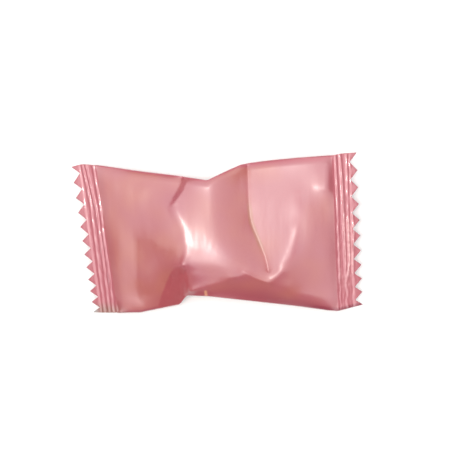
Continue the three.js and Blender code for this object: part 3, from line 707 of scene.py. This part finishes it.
film = {
    "drift": [(0.35, "#9e4e58"), (0.65, "#a3554e"), (0.5, "#a05053")],      # rose, peach and pink
    "driftLength": 170,         # along the pack, for a drift of 1
    # what each mark turns the film to, in the order in which they lie over each other
    "marked": {
        # All but the pressed crimp colour are painted light: shade along the edges, beside the
        # crimps, in the hollow, at the left front corner and along the right front edge; a grey
        # reflection on the last left teeth; a yellowish sheen along the valley crease; and glints
        # at the front edge and on the right crimp.
        "edgeShade": "#943e48", "backEdgeShade": "#a24653", "pocketShade": "#9b3f45", "pressed": "#ad5a64",
        "valleySheen": "#9a594a", "glintSpot": "#c08266", "crimpGlints": "#e8bab8", "leftCornerShade": "#8c5750",
        "greyReflection": "#9a918e", "rightEdgeShade": "#84283a",
    },
    "roughness": 0.4, "metallic": 0.0, "specular": 1.0,
    "ior": 1.52,                # plain polypropylene has 1.5
    "coat": 0.5, "coatPressed": 1.0, "coatCreased": 0.0,       # the clear skin
    "coatRoughness": 0.16, "coatRoughnessPressed": 0.08,
    # Each pattern's stretch and length: soft patches of colour, the loose film's ripples, and the
    # crinkle of the crimps, which is finer in life and is drawn as coarse as it needs to show.
    "patterns": {"patches": ((1, 1, 1), 9), "ripples": ((1, 0.3, 1), 2.3),
                 "grain": ((1, 0.4, 1), 0.5)},
    "detail": 2.0, "rippleHeight": 0.035,
}


# Pearlised polypropylene film, drawn thin, with pearl pigment in it and a clear skin: a satin pink
# that glows softly over each facet, glints on the pressed lines, and is dull in sharp creases.
# Its colour also carries painted shade, a painted sheen, a painted grey reflection and painted
# glints, laid on by the marks.
def pearlisedFilm():
    made = bpy.data.materials.new("pearlised polypropylene film")
    made.use_nodes = True
    tree = made.node_tree
    shader = tree.nodes["Principled BSDF"]
    place = addNode(tree, "ShaderNodeTexCoord").outputs["Object"]
    inMm = addNode(tree, "ShaderNodeVectorMath", {"operation": "SCALE", "Scale": 1 / mm},
                   {0: place}).outputs[0]
    mark = {name: addNode(tree, "ShaderNodeAttribute", {"attribute_name": name}).outputs["Fac"]
            for name in ("creased", *film["marked"])}
    pattern = {}
    for name, (stretch, length) in film["patterns"].items():
        drawn = addNode(tree, "ShaderNodeVectorMath", {"operation": "MULTIPLY", 1: stretch},
                        {0: inMm}).outputs[0]
        pattern[name] = addNode(tree, "ShaderNodeTexNoise",
                                {"Scale": 1 / length, "Detail": film["detail"]},
                                {"Vector": drawn}).outputs[0]

    lengthwise = addNode(tree, "ShaderNodeSeparateXYZ", {}, {0: inMm}).outputs[0]
    drift = addNode(tree, "ShaderNodeMath",
                    {"operation": "MULTIPLY_ADD", 1: -1 / film["driftLength"]},
                    {0: lengthwise, 2: pattern["patches"]}).outputs[0]
    ramp = addNode(tree, "ShaderNodeValToRGB", {}, {0: drift})
    stops = ramp.color_ramp.elements        # the first two are there already
    for count, (position, code) in enumerate(film["drift"]):
        stop = stops[count] if count < 2 else stops.new(position)
        stop.position, stop.color = position, linear(code)
    colour = ramp.outputs[0]
    for name, code in film["marked"].items():
        colour = addNode(tree, "ShaderNodeMix", {"data_type": "RGBA", 7: linear(code)},
                         {0: mark[name], 6: colour}).outputs[2]
    tree.links.new(colour, shader.inputs["Base Color"])
    for name, value in (("Roughness", "roughness"), ("Metallic", "metallic"), ("IOR", "ior"),
                        ("Specular IOR Level", "specular")):
        shader.inputs[name].default_value = film[value]

    coat = addNode(tree, "ShaderNodeMix", {2: film["coat"], 3: film["coatPressed"]},
                   {0: mark["pressed"]}).outputs[0]
    coat = addNode(tree, "ShaderNodeMix", {3: film["coatCreased"]},
                   {0: mark["creased"], 2: coat}).outputs[0]
    tree.links.new(coat, shader.inputs["Coat Weight"])
    smoother = addNode(tree, "ShaderNodeMix",
                       {2: film["coatRoughness"], 3: film["coatRoughnessPressed"]},
                       {0: mark["pressed"]}).outputs[0]
    tree.links.new(smoother, shader.inputs["Coat Roughness"])

    height = addNode(tree, "ShaderNodeMix", {},
                     {0: mark["pressed"], 2: pattern["ripples"], 3: pattern["grain"]}).outputs[0]
    bump = addNode(tree, "ShaderNodeBump", {"Distance": film["rippleHeight"] * mm},
                   {"Height": height}).outputs[0]
    for name in ("Normal", "Coat Normal"):
        tree.links.new(bump, shader.inputs[name])
    return made


wrapper = packMesh()
wrapper.data.materials.append(pearlisedFilm())
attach(wrapper, "root")
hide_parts("wrapped_mint")
print("wrapper made,", sum(len(face.vertices) - 2 for face in wrapper.data.polygons), "triangles")

# Two soft lights from above. Brightness is that of a light's own face.
studio = {
    "imageSize": 460, "pixelsPerMm": 5.85, "originPixel": (217.2, 232.7),
    "cameraHeight": 450.0, "scaleHeight": 5.0,      # where the scale holds: the middle of the pack
    "sensor": 36, "nearest": 0.01, "farthest": 10,      # the last two, and the floor, in metres
    "floorSize": 1.6, "floorGrey": 0.93, "floorRoughness": 0.9,
    "sky": 0.12,
    "lights": {
        "lamp": {"place": (-35, -4, 460), "aim": (0, 0, 0), "size": (66, 120),
                 "brightness": 36, "colour": (1, 0.97, 0.91)},
        "softbox": {"place": (-5, 150, 480), "aim": (-5, 150, 0), "size": (1010, 1100),
                    "brightness": 1.88, "colour": (1, 1, 1)},
    },
}


# White paper, matt and uncoated, which gives the eye a plain pale ground with no gloss.
def makeStage():
    bpy.ops.mesh.primitive_plane_add(size=studio["floorSize"], location=(0, 0, cadBox[0][2]))
    floor = bpy.context.object
    floor.name = "floor"
    paper = bpy.data.materials.new("white paper ground")
    paper.use_nodes = True
    shader = paper.node_tree.nodes["Principled BSDF"]
    shader.inputs["Base Color"].default_value = [studio["floorGrey"]] * 3 + [1]
    shader.inputs["Roughness"].default_value = studio["floorRoughness"]
    floor.data.materials.append(paper)


def makeLights():
    world = bpy.data.worlds.new("studio")
    world.use_nodes = True
    background = world.node_tree.nodes["Background"]
    background.inputs[0].default_value = (1, 1, 1, 1)
    background.inputs[1].default_value = studio["sky"]
    bpy.context.scene.world = world
    for name, light in studio["lights"].items():
        lamp = bpy.data.lights.new(name, "AREA")
        lamp.shape = "RECTANGLE"
        lamp.size, lamp.size_y = (side * mm for side in light["size"])
        lamp.color = light["colour"]
        lamp.energy = light["brightness"] * math.pi * lamp.size * lamp.size_y
        thing = bpy.data.objects.new(name, lamp)
        thing.location = Vector(light["place"]) * mm
        aim = Vector(light["aim"]) * mm - thing.location
        thing.rotation_euler = aim.to_track_quat("-Z", "Y").to_euler()
        bpy.context.collection.objects.link(thing)


def makeCamera():
    across = studio["imageSize"] / studio["pixelsPerMm"]
    cam = bpy.data.cameras.new("camera")
    cam.sensor_width = studio["sensor"]
    cam.lens = studio["sensor"] * (studio["cameraHeight"] - studio["scaleHeight"]) / across
    cam.clip_start, cam.clip_end = studio["nearest"], studio["farthest"]
    thing = bpy.data.objects.new("camera", cam)
    centre = studio["imageSize"] / 2
    x = (centre - studio["originPixel"][0]) / studio["pixelsPerMm"]
    y = (studio["originPixel"][1] - centre) / studio["pixelsPerMm"]
    thing.location = (x * mm, y * mm, studio["cameraHeight"] * mm)
    bpy.context.collection.objects.link(thing)
    bpy.context.scene.camera = thing


makeStage()
makeLights()
makeCamera()
bpy.context.scene.view_settings.view_transform = "Standard"
print("stage, lights and camera set")
